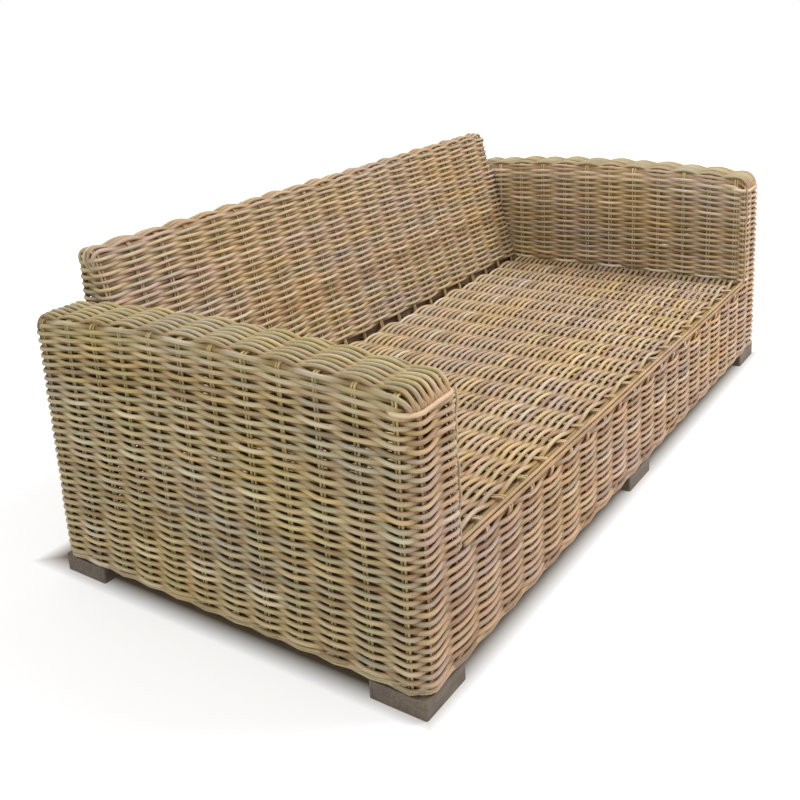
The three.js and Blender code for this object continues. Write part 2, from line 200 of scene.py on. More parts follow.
# %% [markdown]
# ## A cane as a tube
# Blender could make the tubes with curves and a bevel, but then each ring could not carry its own colour.
# So the rings are worked out with numpy: a tangent along the cane, the wall's outward direction, and the
# cross product of the two. All tubes of one woven panel make a bundle, which later becomes one mesh. Each
# ring keeps two things for the material: a colour, and its place along and around the cane.

# %% Collect the tubes of a panel in a bundle
# Painted shade on the side of a tube that faces into the sofa: blue darkens most, so the shade is brown.
SHADE_FROM = 0.35
SHADE_OF_RGB = [1.0, 1.25, 1.7]
GRAIN_LENGTH = 40


def unit(vectors):
    """The same vectors with length 1."""
    return vectors / np.maximum(np.linalg.norm(vectors, axis=-1, keepdims=True), 1e-12)


class Bundle:
    """The canes that become one mesh."""

    def __init__(self):
        self.places, self.colours, self.grains, self.rings = [], [], [], []

    def add(self, path, outward, radius, colour, darken=0.5, press=0.0):
        """One cane along path. The side that faces into the sofa gets a painted shade, and press says how
        much flatter and wider the cane is squeezed at each ring."""
        along = unit(np.gradient(path, axis=0))
        across = unit(np.cross(along, outward))
        outward = np.cross(across, along)
        turn = np.arange(TUBE_SIDES) * 2 * np.pi / TUBE_SIDES
        press = np.broadcast_to(press, len(path))[:, None, None]
        thick, wide = (1 - 0.5 * press) * np.cos(turn)[:, None], (1 + press) * np.sin(turn)[:, None]
        ring = outward[:, None] * thick + across[:, None] * wide
        length = np.concatenate([[0], np.cumsum(np.linalg.norm(np.diff(path, axis=0), axis=1))])
        start = random.uniform(0, GRAIN_LENGTH)
        grain = np.empty((len(path), TUBE_SIDES, 3))
        grain[..., 0] = start + length[:, None]
        grain[..., 1] = start + radius * np.cos(turn)
        grain[..., 2] = radius * np.sin(turn)
        # Painted shade, strongest on the side of the tube that faces into the sofa.
        shade = 1 - darken * np.clip(SHADE_FROM - np.cos(turn), 0, 1) / (1 + SHADE_FROM)
        shade = shade[:, None] ** SHADE_OF_RGB
        self.places.append((path[:, None] + radius * ring).reshape(-1, 3))
        # Painted light: a tint by the way the cane's face looks, times the bundles' own differences in tone.
        colour = colour * face_tint(path, outward)
        self.colours.append((colour[:, None] * shade).reshape(-1, 3))
        self.grains.append(grain.reshape(-1, 3))
        self.rings.append(len(path))


bundles = defaultdict(Bundle)
print("sides of a tube:", TUBE_SIDES)

# %% [markdown]
# The faces between the rings are four-sided, and a flat cap closes each end. The map named OFBake lays the
# tubes out as strips side by side, which is how a bark would be peeled off them, so that a bake of the
# material gets even room for each cane.

# %% Faces, caps and the strip map of a panel's tubes
STRIP_RINGS = 8
STRIP_WIDTH = 0.026
STRIP_SHAPE = STRIP_WIDTH / (STRIP_RINGS * RING_STEP)
RING_EDGE, SIDE_EDGE = 0.02, 0.06


def tube_faces(ring_counts):
    """Corners of all side faces and caps, and the strip, ring and side that each side face has."""
    quads, caps, spots = [], [], []
    first = strip = 0
    side = np.arange(TUBE_SIDES)
    for count in ring_counts:
        ring = np.arange(count - 1)[:, None]
        a = first + ring * TUBE_SIDES + side
        b = first + ring * TUBE_SIDES + (side + 1) % TUBE_SIDES
        quads.append(np.stack([a, b, b + TUBE_SIDES, a + TUBE_SIDES], -1).reshape(-1, 4))
        caps += [first + side[::-1], first + (count - 1) * TUBE_SIDES + side]
        spot = np.broadcast_arrays(strip + ring // STRIP_RINGS, ring % STRIP_RINGS, side)
        spots.append(np.stack(spot, -1).reshape(-1, 3))
        strip += (count - 2) // STRIP_RINGS + 1
        first += count * TUBE_SIDES
    return np.concatenate(quads), np.array(caps), np.concatenate(spots), strip


def strip_map(spots, strips):
    """Places of the side faces' corners in the bake map."""
    columns = max(1, round(math.sqrt(strips * STRIP_SHAPE)))
    rows = math.ceil(strips / columns)
    column, row = spots[:, :1] % columns, spots[:, :1] // columns
    across = (spots[:, 1:2] + [0, 0, 1, 1]) / STRIP_RINGS
    up = (spots[:, 2:3] + [0, 1, 1, 0]) / TUBE_SIDES
    u = (column + RING_EDGE + (1 - 2 * RING_EDGE) * across) / columns
    v = (row + SIDE_EDGE + (1 - 2 * SIDE_EDGE) * up) / rows
    return np.stack([u, v], -1).reshape(-1, 2)


def fill(mesh, layer, kind, values):
    """Stores one value for each point of a mesh."""
    target = mesh.attributes.new(layer, kind, "POINT").data
    target.foreach_set("color" if "COLOR" in kind else "vector", values.astype(np.float32).ravel())


def build(name, slot, *nodes):
    """The mesh of a bundle, which stands for some of the fixed model's nodes."""
    canes = bundles[name]
    quads, caps, spots, strips = tube_faces(canes.rings)
    places = np.concatenate(canes.places)
    corners = np.concatenate([quads.ravel(), caps.ravel()])
    sizes = np.concatenate([np.full(len(quads), 4), np.full(len(caps), TUBE_SIDES)])
    mesh = bpy.data.meshes.new(name)
    mesh.vertices.add(len(places))
    mesh.vertices.foreach_set("co", places.astype(np.float32).ravel())
    mesh.loops.add(len(corners))
    mesh.loops.foreach_set("vertex_index", corners.astype(np.int32))
    mesh.polygons.add(len(sizes))
    mesh.polygons.foreach_set("loop_start", (np.cumsum(sizes) - sizes).astype(np.int32))
    mesh.polygons.foreach_set("use_smooth", sizes == 4)
    mesh.update(calc_edges=True)
    rgb = np.concatenate(canes.colours)
    fill(mesh, "cane_colour", "FLOAT_COLOR", np.hstack([rgb, np.ones((len(rgb), 1))]))
    fill(mesh, "cane_grain", "FLOAT_VECTOR", np.concatenate(canes.grains))
    uv = np.concatenate([strip_map(spots, strips), np.tile([[0.5, 0.001]], (caps.size, 1))])
    mesh.uv_layers.new(name="OFBake").uv.foreach_set("vector", uv.astype(np.float32).ravel())
    mesh.materials.append(finishes[slot])
    piece = bpy.data.objects.new(name, mesh)
    bpy.context.scene.collection.objects.link(piece)
    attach(piece, "root")
    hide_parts(*nodes)
    print(f"{name}: {len(canes.rings)} canes, {2 * len(quads)} triangles")


print("rings in a strip of the map:", STRIP_RINGS)

# %% [markdown]
# ## The way of a row
# A row of weaving runs along a line with round corners. The line goes through the middle of the stakes, and
# at each place it knows the outward direction of the wall and where the next stake is. One small class
# holds that, and every row of every wall is laid with it.

# %% A line with round corners
CORNER_POINTS = 7
BEND_STEP = 0.01
BEND_CLEAR, END_CLEAR = 0.0022, 0.003


def rounded(corners, radii, side):
    """Points and outward directions of a line with round corners. side x direction is outward, and radii is
    one radius, or one for each corner between the ends."""
    corners = np.array(corners, float)
    points, outward = [], []
    for i, radius in enumerate([0, *np.broadcast_to(radii, len(corners) - 2), 0]):
        here = corners[i]
        to = unit(here - corners[i - 1]) if i > 0 else unit(corners[1] - here)
        if radius == 0:
            points.append(here)
            outward.append(np.cross(side, to))
            continue
        after = unit(corners[i + 1] - here)
        half = math.acos(np.clip(-to @ after, -1, 1)) / 2
        centre = here + unit(after - to) * radius / math.sin(half)
        start = here - to * radius / math.tan(half) - centre
        end = here + after * radius / math.tan(half) - centre
        sign = np.sign(start @ np.cross(side, to))
        for share in np.linspace(0, 1, CORNER_POINTS):
            radial = unit(start * (1 - share) + end * share)
            points.append(centre + radius * radial)
            outward.append(sign * radial)
    return np.array(points), np.array(outward)


class Way:
    """A line through the middle of the stakes, with the outward direction and the stakes' places on it."""

    def __init__(self, points, outward, stakes, first_stake=0, closed=False):
        self.points = np.array(points, float)
        self.outward = unit(np.array(outward, float))
        steps = np.linalg.norm(np.diff(self.points, axis=0), axis=1)
        self.at = np.concatenate([[0], np.cumsum(steps)])
        self.length = self.at[-1]
        self.closed = closed
        self.first_stake = first_stake
        self.stakes = np.array([self.nearest(stake) for stake in stakes])
        self.bends = self.at[1:-1][(steps[1:] < BEND_STEP) | (steps[:-1] < BEND_STEP)]

    def nearest(self, place):
        """How far along the way a place is."""
        start, step = self.points[:-1], np.diff(self.points, axis=0)
        share = np.clip(((np.array(place, float) - start) * step).sum(1) / (step**2).sum(1), 0, 1)
        best = np.linalg.norm(start + step * share[:, None] - place, axis=1).argmin()
        return self.at[best] + share[best] * np.linalg.norm(step[best])

    def spot(self, s):
        """Places and outward directions at distances along the way."""
        s = np.mod(s, self.length) if self.closed else s
        place = np.stack([np.interp(s, self.at, self.points[:, axis]) for axis in range(3)], -1)
        outward = np.stack([np.interp(s, self.at, self.outward[:, axis]) for axis in range(3)], -1)
        return place, unit(outward)

    def wave(self, s):
        """Between -1 and 1: 1 where row 0 passes outside a stake, -1 where it passes inside."""
        stakes = self.stakes
        if self.closed:
            s = np.mod(s, self.length)
            before, after = stakes[-1] - self.length, stakes[0] + self.length
        else:
            before, after = 2 * stakes[0] - stakes[1], 2 * stakes[-1] - stakes[-2]
        knots = np.concatenate([[before], stakes, [after]])
        count = np.interp(s, knots, np.arange(len(knots)) - 1)
        return np.cos(np.pi * (count + self.first_stake))

    def rings(self, start, end):
        """Distances of a cane's rings, which stand closer together in the bends."""
        places = np.linspace(start, end, max(3, round((end - start) / RING_STEP)))
        turns = (-1, 0, 1, 2) if self.closed else (0,)
        bends = np.concatenate([self.bends + turn * self.length for turn in turns])
        bends = bends[(bends > start + END_CLEAR) & (bends < end - END_CLEAR)]
        if len(bends) == 0:
            return places
        clear = np.abs(places[:, None] - bends).min(1) > BEND_CLEAR
        clear[[0, -1]] = True
        return np.sort(np.concatenate([places[clear], bends]))


print("points in a round corner:", CORNER_POINTS)

# %% [markdown]
# ## Laying a row
# A strand of cane is 1.2 to 2.4 m long. A weaver ends it behind a stake and starts the next one beside it,
# so no end shows. Rows are never quite straight either: neighbours drift up and down together by a
# millimetre or two, which is what makes hand weaving look alive, and each cane has its own small wobble.
# Inside, where a cane lies on the frame, it is squeezed wide, most of all on the inner walls and the rear.

# %% Strands along a row
STRAND = (1.2, 2.4)
TAIL = 0.018
TUCK_LENGTH, TUCK_IN, TUCK_DOWN = 0.04, 0.006, 0.003
PRESSED, PRESSED_INNER, PRESSED_REAR = 0.42, 0.22, 0.50
SWING_SHARES = (0.92, 1.06)
THICKNESS_SHARES = (0.90, 1.07)
# Painted shade in the recesses: a cane's colour gets darker and browner where it lies deeper than the humps.
PAINTED_RECESS_SHADE = np.array([0.58, 0.45, 0.25])
ANY_PHASE = 6.28


def smooth(value):
    """0 below 0, 1 above 1, and a smooth climb between them."""
    value = np.clip(value, 0, 1)
    return value * value * (3 - 2 * value)


def wobble(s, *waves):
    """Small waves along a cane. Each has a height, and the least and the most that it turns in a metre."""
    return sum(
        height * np.sin(s * random.uniform(least, most) + random.uniform(0, ANY_PHASE))
        for height, least, most in waves
    )


def shared_drift(place):
    """A drift that is nearly the same for neighbouring rows, up to about 2 mm."""
    x, y, z = place.T
    return (
        0.0010 * np.sin((x + 1.3 * y) * 8.3 + z * 3.1 + 0.7)
        + 0.0007 * np.sin((x - 1.2 * y) * 19.7 + z * 6.7 + 2.1)
        + 0.0004 * np.sin((x + 0.9 * y) * 41.0 - z * 9.0)
    )


def strand_cuts(way, row, start, end):
    """Where a row's strands end: behind stakes, 1.2 to 2.4 m apart."""
    count = len(way.stakes)
    hidden = [
        way.stakes[i % count] + (i // count) * way.length
        for i in range(count * (3 if way.closed else 1))
        if (i + way.first_stake + row) % 2 == 1
    ]
    hidden = np.array(hidden)
    if way.closed:
        start = hidden[random.integers(0, count // 2)]
        end = start + way.length
    cuts = [start]
    while end - cuts[-1] > STRAND[1]:
        wanted = cuts[-1] + random.uniform(*STRAND)
        if end - wanted < STRAND[0] / 2:
            break
        cuts.append(hidden[np.abs(hidden - wanted).argmin()])
    return cuts + [end]


def lay_row(
    pick, way, row, mix, lift=None, start=0.0, end=None, swing=SWING, radius=WEAVER_RADIUS, hold=None
):
    """All strands of one row. pick names the bundle of a place, lift tells how far the row is raised, and
    hold, where a row is held in front of the stakes or behind them. Where a cane lies deeper than the
    humps, its colour gets a painted shade."""
    cuts = strand_cuts(way, row, start, way.length if end is None else end)
    sign = 1 if row % 2 == 0 else -1
    for i in range(len(cuts) - 1):
        joins = (way.closed or i > 0, way.closed or i < len(cuts) - 2)
        s = way.rings(cuts[i] - TAIL * joins[0], cuts[i + 1] + TAIL * joins[1])
        place, outward = way.spot(s)
        if lift is not None:
            place[:, 2] += lift(place)
        across = unit(np.cross(unit(np.gradient(place, axis=0)), outward))
        tuck = smooth((cuts[i] + TUCK_LENGTH / 2 - s) / TUCK_LENGTH) * joins[0]
        offset = swing * random.uniform(*SWING_SHARES) * sign * way.wave(s)
        offset = np.where(offset < 0, INSIDE_SHARE * offset, offset)
        if hold is not None:
            offset = hold(place, offset)
        offset = offset - TUCK_IN * tuck
        sideways = wobble(s, (0.0006, 22, 34), (0.0004, 55, 80)) + shared_drift(place) - TUCK_DOWN * tuck
        path = place + outward * offset[:, None] + across * sideways[:, None]
        depth = smooth(0.5 + offset / (2 * SWING))
        # Painted shade: the deeper the cane lies in the weave, the darker and browner its colour.
        colour = strand_colour(mix, s) * (PAINTED_RECESS_SHADE + (1 - PAINTED_RECESS_SHADE) * depth[:, None])
        thickness = radius * random.uniform(*THICKNESS_SHARES)
        inner = outward[:, 0] * place[:, 0] < -0.5 * np.abs(place[:, 0])
        press = (PRESSED + PRESSED_INNER * inner + PRESSED_REAR * (outward[:, 1] > 0.5)) * (1 - depth)
        name = pick if isinstance(pick, str) else pick(place[len(place) // 2])
        bundles[name].add(path, outward, thickness, colour, press=press)


STAKE_TINT = np.array([0.90, 0.85, 0.68])
STAKES_APART = (1.1, 1.7)


def lay_pair(name, points, outward, tone=STAKE_TINT):
    """Two stakes side by side along a line."""
    way = Way(points, outward, [points[0], points[-1]])
    s = way.rings(0, way.length)
    place, outward = way.spot(s)
    across = unit(np.cross(unit(np.gradient(place, axis=0)), outward))
    apart = STAKE_RADIUS * random.uniform(*STAKES_APART)
    for side in (-1, 1):
        sideways = side * apart + wobble(s, (0.0005, 15, 25))
        path = place + across * sideways[:, None]
        bundles[name].add(path, outward, STAKE_RADIUS, strand_colour("stake", s) * tone, darken=0.4)


print("strands from", STRAND[0], "to", STRAND[1], "m")

# %% [markdown]
# ## Where the stakes stand
# Along an arm the pairs are 85 mm apart, and along the front and the rear about 93 mm. A pair stands at each
# inner corner of an arm too, and one in the middle of its narrow front. The number of pairs round the
# whole skirt is even: only then does a row that went outside the first pair come back to it inside.

# %% Places of the stakes
ARM_FIRST = 0.043
ARM_PITCH = 0.0849
ARM_STAKES = 12
FRONT_GAPS = 19
BACK_GAPS = 17
BACK_FIRST = 0.785
BACK_CORNER = 0.885
ARM_FACE_STAKE = 0.039

arm_ys = -half_depth + ARM_FIRST + ARM_PITCH * np.arange(ARM_STAKES)
front_xs = np.linspace(-arm_inner, arm_inner, FRONT_GAPS + 1)
back_xs = np.linspace(-BACK_FIRST, BACK_FIRST, BACK_GAPS + 1)
back_xs = np.concatenate([[-BACK_CORNER], back_xs, [BACK_CORNER]])
face_x = half_length - ARM_FACE_STAKE

outside_stakes = (
    [(-face_x, -middle_y)]
    + [(-middle_x, y) for y in arm_ys]
    + [(-face_x, middle_y)]
    + [(x, middle_y) for x in back_xs]
    + [(face_x, middle_y)]
    + [(middle_x, y) for y in arm_ys[::-1]]
    + [(face_x, -middle_y)]
)
skirt_stakes = [(-arm_inner, -middle_y)] + outside_stakes + [(x, -middle_y) for x in front_xs[:0:-1]]
print("pairs round the skirt:", len(skirt_stakes))

# %% [markdown]
# ## The skirt: rows that run right round the sofa
# Below the seat's front edge each row goes round all four sides without a break. The rows start just
# above the border and are 9 mm apart. Along the front the highest one stays behind the stakes, which leaves
# a bare bit of each pair under the seat's edge.

# %% Lay the skirt's rows
SKIRT_PITCH = 0.0090
SKIRT_ROWS = 25
OUTER_CORNER = 0.034
ABOVE_BORDER = 0.0055
BEHIND_STAKES = -0.003
CORNER_MARGIN = 0.03
APRON_MARGIN, HOLD_MARGIN = 0.01, 0.02
UP = np.array([0.0, 0.0, 1.0])
skirt_first = skirt_bottom + ABOVE_BORDER


def flat(places):
    """Places on the floor plan as places in space."""
    return [(x, y, 0.0) for x, y in places]


def plan_way(corners, radii, stakes, **more):
    """A way seen from above."""
    points, outward = rounded(flat(corners), radii, UP)
    return Way(points, outward, flat(stakes), **more)


def outside_panel(place):
    """The bundle of the outside walls that a place belongs to."""
    x, y, z = place
    side = "left" if x < 0 else "right"
    if abs(x) > middle_x - CORNER_MARGIN and abs(y) < middle_y - CORNER_MARGIN:
        return f"canes_arm_{side}_outer"
    if y > middle_y - CORNER_MARGIN:
        return f"canes_rear_{side}"
    if abs(x) < arm_inner - APRON_MARGIN:
        return "canes_apron"
    return f"canes_arm_{side}_front" if y < -middle_y + CORNER_MARGIN else f"canes_arm_{side}_inner"


round_corners = [(-middle_x, -middle_y), (-middle_x, middle_y), (middle_x, middle_y), (middle_x, -middle_y)]
skirt_start = skirt_stakes[0]
skirt_way = plan_way([skirt_start, *round_corners, skirt_start], OUTER_CORNER, skirt_stakes, closed=True)


def behind_front_stakes(place, offset):
    """Keeps a row behind the stakes along the front between the arms."""
    between = (np.abs(place[:, 0]) < arm_inner - HOLD_MARGIN) & (place[:, 1] < 0)
    return np.where(between, np.minimum(offset, BEHIND_STAKES), offset)


for row in range(SKIRT_ROWS):
    height = skirt_first + row * SKIRT_PITCH
    hold = behind_front_stakes if row == SKIRT_ROWS - 1 else None
    lay_row(outside_panel, skirt_way, row, "side", lambda place: height, hold=hold)
print("rows of the skirt:", SKIRT_ROWS, "each", round(skirt_way.length, 2), "m long")

# %% [markdown]
# ## The arms and the rear above the seat
# Above the seat a row starts behind the backrest, comes forward along the arm's inner side, turns round the
# arm's narrow front, and goes on along the outside and the rear to the other arm. The upper rows rise
# towards the middle of the arm, because its top is crowned. At the arms' ends the last row but two passes
# outside all the stakes, and the ends of the top strip's canes are tucked in behind it.

# %% The way of the rows above the seat
UPPER_PITCH = 0.00866
UPPER_ROWS = 39
INNER_CORNER = 0.009
CROWN_FROM, CROWN_OVER = 0.30, 0.30
BEHIND_LEAN = 0.03
SHORT_OF_REAR = 0.012
inner_rear = middle_y - SHORT_OF_REAR
upper_first = skirt_first + SKIRT_ROWS * SKIRT_PITCH

inner_corner = [(inner_x, -middle_y)]
right_stakes = inner_corner + [(inner_x, y) for y in arm_ys]
left_stakes = [(-x, y) for x, y in right_stakes[::-1]]
upper_way = plan_way(
    [(-inner_x, inner_rear), (-inner_x, -middle_y), *round_corners, *inner_corner, (inner_x, inner_rear)],
    [INNER_CORNER, *[OUTER_CORNER] * 4, INNER_CORNER],
    left_stakes + outside_stakes + right_stakes,
    first_stake=-ARM_STAKES,
)


def crown_lift(height):
    """How far a row at this height is raised on the arms' sides."""
    share = smooth((height - CROWN_FROM) / CROWN_OVER)
    return lambda place: height + share * (arm_top(place[:, 1]) - arm_end_top)


def behind_back(height):
    """Distance along the upper way at which a row goes behind the backrest."""
    return upper_way.nearest((-inner_x, back_front(height) + BEHIND_LEAN, 0))


print("way above the seat:", round(upper_way.length, 2), "m, pairs of stakes:", len(upper_way.stakes))

# %% [markdown]
# The last two rows of an arm have to vanish at its ends without a loose end in sight. So they are laid in
# five spans, between the places where they dive in and down, and the row below them is led outside.

# %% Lay the rows above the seat
STRAIGHT_ROWS = 4
STRAIGHT_SWING = 0.0050
OUTERMOST = 0.0055
COME_OUT = 0.018
DIVE_LENGTH, DIVE_IN, DIVE_DOWN = 0.030, 0.011, 0.011
ALL_IN = 0.010
REAR_MARGIN = 0.004


def outside_arm_ends(place, offset):
    """Keeps a row outside the stakes at the arms' ends."""
    at_end = smooth((np.abs(place[:, 1]) - middle_y + OUTER_CORNER) / COME_OUT + 1)
    return offset * (1 - at_end) + np.maximum(offset, OUTERMOST) * at_end


def near_end(place):
    """0 along a side of an arm or along the rear, and 1 near the ends of both."""
    x, y = np.abs(place[:, 0]), place[:, 1]
    past = np.where(y > middle_y - REAR_MARGIN, x - inner_x, np.abs(y) - middle_y)
    return smooth((past + DIVE_LENGTH + ALL_IN) / DIVE_LENGTH)


def into_ends(place, offset):
    """Leads a row inwards near its ends."""
    return offset - DIVE_IN * near_end(place)


def dive(lift):
    """The lift of a row that goes down near its ends."""
    return lambda place: lift(place) - DIVE_DOWN * near_end(place)


end_y = middle_y - ALL_IN
ends = [(-inner_x, -end_y), (-middle_x, -end_y), (-middle_x, end_y), (-inner_x, middle_y)]
ends += [(-x, y) for x, y in ends[::-1]]
dives = [upper_way.nearest((*end, 0)) for end in ends]
for i in range(UPPER_ROWS):
    height = upper_first + i * UPPER_PITCH
    lift = crown_lift(height)
    swing = STRAIGHT_SWING if i >= UPPER_ROWS - STRAIGHT_ROWS else SWING
    turns = [behind_back(height), upper_way.length - behind_back(height)]
    hold = outside_arm_ends if i == UPPER_ROWS - 3 else None
    if i >= UPPER_ROWS - 2:
        turns[1:1] = dives
        lift, hold = dive(lift), into_ends
    for span in zip(turns[::2], turns[1::2]):
        lay_row(outside_panel, upper_way, SKIRT_ROWS + i, "side", lift, *span, swing, hold=hold)
print("rows above the seat:", UPPER_ROWS)

# %% [markdown]
# ## The arm's top strip
# Sixteen canes run along the top of an arm, over the same stakes, which come up on the outside, cross the
# arm and go down inside. At both ends the canes bend down over the edge and tuck in behind the front rows.

# %% Lay the arms' top strips
TOP_ROWS = 16
TOP_CORNER = 0.008
TOP_UNDER = 0.0112
TOP_POINTS = 25
BEND_POINTS = 8
END_BEND = 0.024
BEND_SHAPE = 1.4
STAND_OUT = 0.001
OFF_INSIDE, OFF_OUTSIDE = 0.005, 0.010
OFF_EDGE = 0.004
WALL_DEPTH = 0.1
TUCKED_ENDS = ((0.0005, 0.037), (0.0035, 0.043), (0.0075, 0.055))
SIDES = {"left": -1, "right": 1}


def over_arm(side, y, top, low):
    """Points and outward directions across an arm, from outside over the top to inside."""
    corners = [(middle_x, low[0]), (middle_x, top), (inner_x, top), (inner_x, low[1])]
    return rounded([(side * x, y, z) for x, z in corners], TOP_CORNER, (0, side, 0))


def mirrored(points, axis):
    """The same points in reverse order on the other side of the sofa's middle."""
    return list(np.array(points, float)[::-1] * np.where(np.arange(3) == axis, -1, 1))


def end_of_arm(x):
    """How far an arm's end lies from the middle of the sofa, at a place across the arm."""
    past = max(0.0, abs(x) - (middle_x - OUTER_CORNER))
    return middle_y - OUTER_CORNER + math.sqrt(OUTER_CORNER**2 - past**2)


def strip_way(x, drop, across):
    """One cane's way along the top of an arm. Both ends bend down and are tucked in behind a row."""
    end_x = np.clip(abs(x), inner_x + OFF_INSIDE, middle_x - OFF_OUTSIDE) * np.sign(x)
    end = end_of_arm(end_x)
    edge = end_of_arm(min(abs(x), middle_x - OFF_EDGE)) - END_BEND
    points = [(x, y, arm_top(y) + drop) for y in np.linspace(-edge, edge, TOP_POINTS)]
    bend, outward = [], []
    for turn in np.linspace(0, np.pi / 2, BEND_POINTS)[1:]:
        y = edge + (end + STAND_OUT - edge) * math.sin(turn) ** BEND_SHAPE
        z = points[-1][2] - END_BEND * (1 - abs(math.cos(turn)) ** BEND_SHAPE)
        bend.append((x + (end_x - x) * math.sin(turn), y, z))
        outward.append(across * math.cos(turn) + np.array((0, 1, 0)) * math.sin(turn))
    for behind, below in TUCKED_ENDS:
        bend.append((end_x, end - behind, arm_end_top - below))
        outward.append((0, 1, 0))
    points = mirrored(bend, 1) + points + bend
    outward = mirrored(outward, 1) + [across] * TOP_POINTS + outward
    return Way(points, outward, [(x, y, arm_top(y) + drop) for y in arm_ys])


for name, side in SIDES.items():
    walls = [(side * middle_x, 0, 0), (side * inner_x, 0, 0)]
    section = Way(*over_arm(side, 0, -TOP_UNDER, (-WALL_DEPTH, -WALL_DEPTH)), walls)
    first = section.nearest((side * middle_x, 0, -TOP_UNDER - TOP_CORNER))
    last = section.nearest((side * inner_x, 0, -TOP_UNDER - TOP_CORNER))
    for row in range(TOP_ROWS):
        place, across = section.spot(np.array([first + (row + 0.5) * (last - first) / TOP_ROWS]))
        way = strip_way(place[0, 0], place[0, 2], across[0])
        lay_row(f"canes_arm_{name}_top", way, row, "side")
print("canes along an arm's top:", TOP_ROWS)

# %% [markdown]
# ## The backrest
# The front of the backrest leans, so its rows are laid on a leaning plane. Below the arms' tops they end
# inside the arms. Above them each row goes right round the backrest, and the rounded top has rows of its
# own, whose ends bend down over the rounded corner.

# %% Lay the backrest's rows
BACK_PITCH = 0.00855
BACK_ROWS = 50
BACK_TOP_ROWS = 9
LOOP_FROM = 38
LOOP_CORNER = 0.014
INTO_ARM = 0.005
ABOVE_SEAT = 0.007
back_first = seat_top + ABOVE_SEAT
lean = np.array([0, -1.0, BACK_LEAN]) / math.hypot(1, BACK_LEAN)


def back_middle(z):
    """The leaning plane through the middle of the backrest's stakes."""
    return back_front(z) + UNDER_FACE * math.hypot(1, BACK_LEAN)


def straight_way(reach, y, z, outward, xs, **more):
    """A way from side to side of the sofa."""
    return Way([(-reach, y, z), (reach, y, z)], [outward] * 2, [(x, y, z) for x in xs], **more)


end_x = arm_inner - UNDER_FACE
half = len(back_xs) // 2
for i in range(BACK_ROWS):
    z = back_first + i * BACK_PITCH
    y = back_middle(z)
    if i < LOOP_FROM:
        way = straight_way(arm_inner + INTO_ARM, y, z, lean, back_xs)
        lay_row("canes_back_front", way, i + 1, "back")
        continue
    corners = [(-end_x, y), (-end_x, middle_y), (end_x, middle_y), (end_x, y)]
    front = [(x, y) for x in back_xs[::-1]]
    stakes = front[half:] + [(x, middle_y) for x in back_xs] + front[:half]
    way = plan_way([(0, y), *corners, (0, y)], LOOP_CORNER, stakes, first_stake=1, closed=True)
    way.outward[:, 2] = np.maximum(0, -way.outward[:, 1]) * BACK_LEAN
    lay_row("canes_back_front", way, i + 1, "back", lambda place: z)
print("rows up the backrest:", BACK_ROWS)

# %% [markdown]
# The rows over the top lie on the line that a stake takes over the backrest. Each bends down at both ends,
# and the outer ones sooner, so that together they close the end with a round corner.

# %% Lay the rows over the backrest's top, and the rear's rows beside the arms' tops
BACK_ROUND = 0.015
END_ROUND, LEAST_ROUND = 0.021, 0.010
UNDER_TOP = 0.0114
PAST_DECK, PAST_BORDER = 0.02, 0.002
ENDS_IN, ENDS_DOWN = 0.007, 0.03
back_top_z = back_top - UNDER_TOP
below_deck = deck_z - PAST_DECK


def back_section(x):
    """A stake's line over the backrest: up the front, over the top, down the rear."""
    corners = [
        (x, back_middle(below_deck), below_deck),
        (x, back_middle(back_top_z), back_top_z),
        (x, middle_y, back_top_z),
        (x, middle_y, skirt_bottom + PAST_BORDER),
    ]
    return rounded(corners, BACK_ROUND, (1, 0, 0))


last_row_z = back_first + (BACK_ROWS - 1) * BACK_PITCH
section = Way(*back_section(0), [(0, back_middle(last_row_z), last_row_z), (0, middle_y, last_row_z)])
front_end, rear_end = section.stakes
for i in range(BACK_TOP_ROWS):
    s = front_end + (i + 1) * (rear_end - front_end) / (BACK_TOP_ROWS + 1)
    place, across = section.spot(np.array([s]))
    y, z = place[0, 1:]
    bend = min(max(z - last_row_z, LEAST_ROUND), END_ROUND)
    points, outward = [(-end_x + ENDS_IN, y, last_row_z - ENDS_DOWN)], [(-1, 0, 0)]
    for turn in np.linspace(np.pi / 2, 0, CORNER_POINTS):
        points.append((-end_x + bend * (1 - math.sin(turn)), y, z - bend * (1 - math.cos(turn))))
        outward.append(across[0] * math.cos(turn) + np.array((-1, 0, 0)) * math.sin(turn))
    way = Way(points + mirrored(points, 0), outward + mirrored(outward, 0), [(x, y, z) for x in back_xs])
    lay_row("canes_back_top", way, BACK_ROWS + 1 + i, "back")

rear_from = upper_first + UPPER_ROWS * UPPER_PITCH
rear_to = back_first + LOOP_FROM * BACK_PITCH
rear_rows = round((rear_to - rear_from) / BACK_PITCH)
for i in range(rear_rows):
    z = rear_from + i * (rear_to - rear_from) / rear_rows
    way = straight_way(end_x, middle_y, z, (0, 1, 0), back_xs, first_stake=1)
    lay_row(outside_panel, way, SKIRT_ROWS + UPPER_ROWS + i, "side")
print("rows over the top:", BACK_TOP_ROWS, "and at the rear beside the arms' tops:", rear_rows)

# %% [markdown]
# ## The seat deck
# The deck's rows run from arm to arm. Its stakes are the front's own stakes: they come up the apron, go
# over the front rail under the rim's canes, and on to the back. The first row lies behind all of them, as
# the highest one of the apron does.

# %% Lay the deck's rows
DECK_PITCH = 0.0094
DECK_ROWS = 85
DECK_CANE = 0.0050
FIRST_CANE = 0.0036
FIRST_BEHIND = -0.0065
RIM_REACH = 0.0158
BEHIND_RIM = 0.0162
INTO_SIDE = 0.004
rim_y = -half_depth + RIM_REACH
rim_z = seat_top - RIM_REACH
deck_first = rim_y + BEHIND_RIM


def behind_deck_stakes(place, offset):
    """Keeps a row behind the stakes all along."""
    return np.minimum(offset, FIRST_BEHIND)


